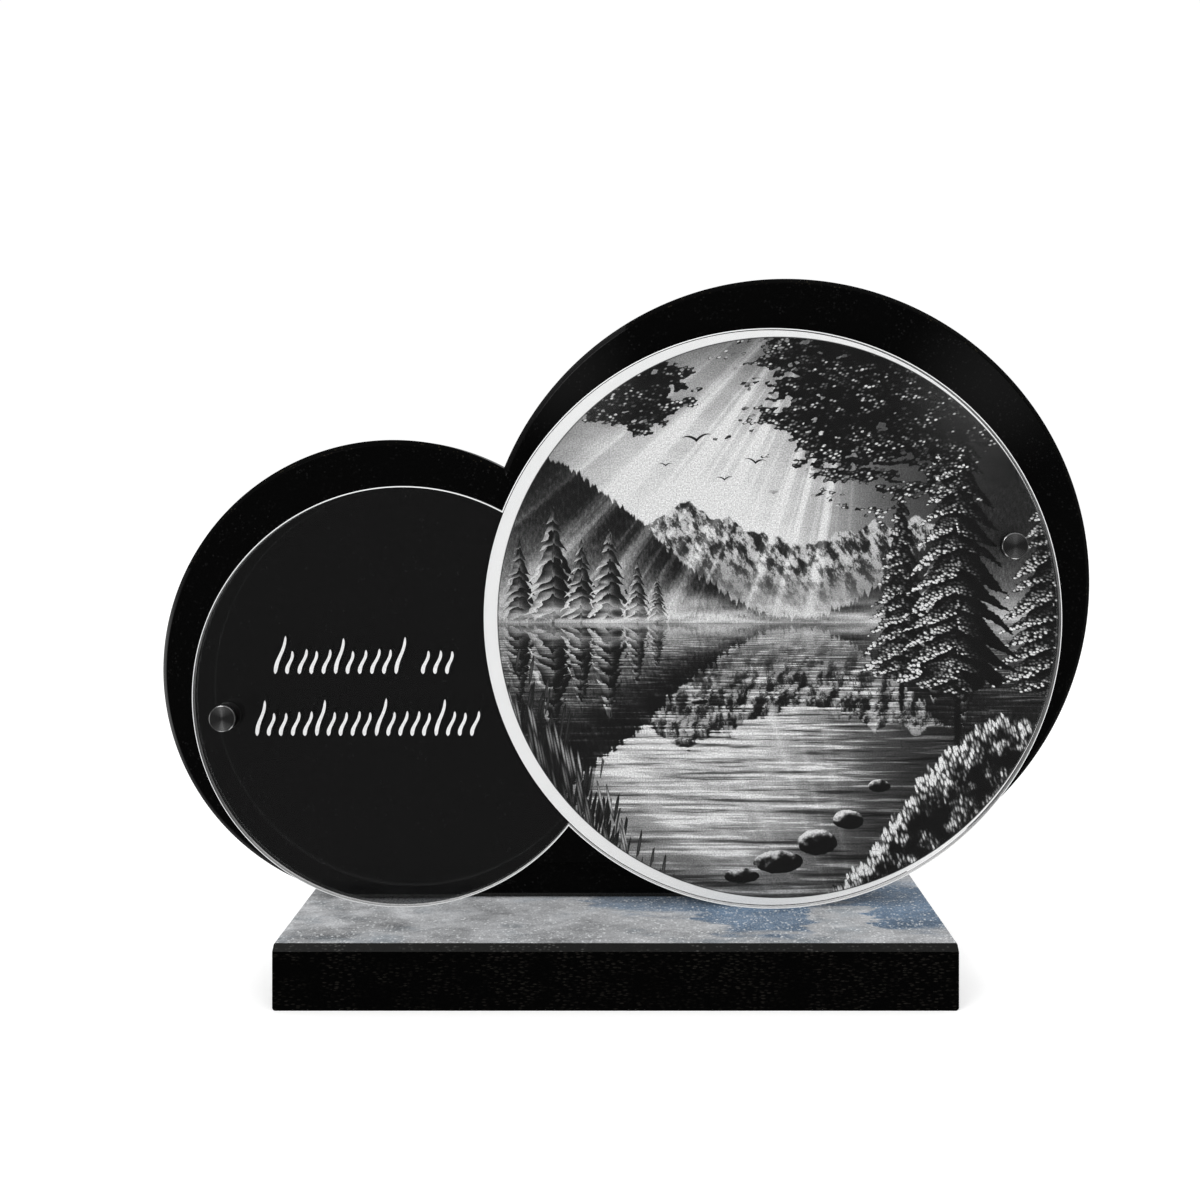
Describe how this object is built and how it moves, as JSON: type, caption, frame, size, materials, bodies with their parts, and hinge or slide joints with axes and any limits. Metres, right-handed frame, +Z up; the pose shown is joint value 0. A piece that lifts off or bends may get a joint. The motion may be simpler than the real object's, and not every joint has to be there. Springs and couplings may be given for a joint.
{
  "type": "funeral plaque",
  "caption": "Black granite memorial plaque on a flat base, with a clear acrylic sheet held off its panel that carries a round greyscale print and engraved rows of strokes.",
  "frame": {"origin": "centre of the base's underside", "axes": "+Z up, +X along the base towards the big disc, -Y towards the front"},
  "size_m": [0.451, 0.1, 0.3295],
  "materials": {
    "base_granite": "polished",
    "panel_granite": "polished",
    "clear_acrylic": "polished",
    "print_film": "satin",
    "black_anodised": "satin",
    "engraving_white": "matte"
  },
  "bodies": {
    "root": {"base": "base_granite", "back_panel": "panel_granite", "front_panel": "clear_acrylic", "picture_print": "print_film", "standoff_left_barrel": "black_anodised", "standoff_left_cap": "black_anodised", "standoff_right_barrel": "black_anodised", "standoff_right_cap": "black_anodised"}
  },
  "joints": []
}
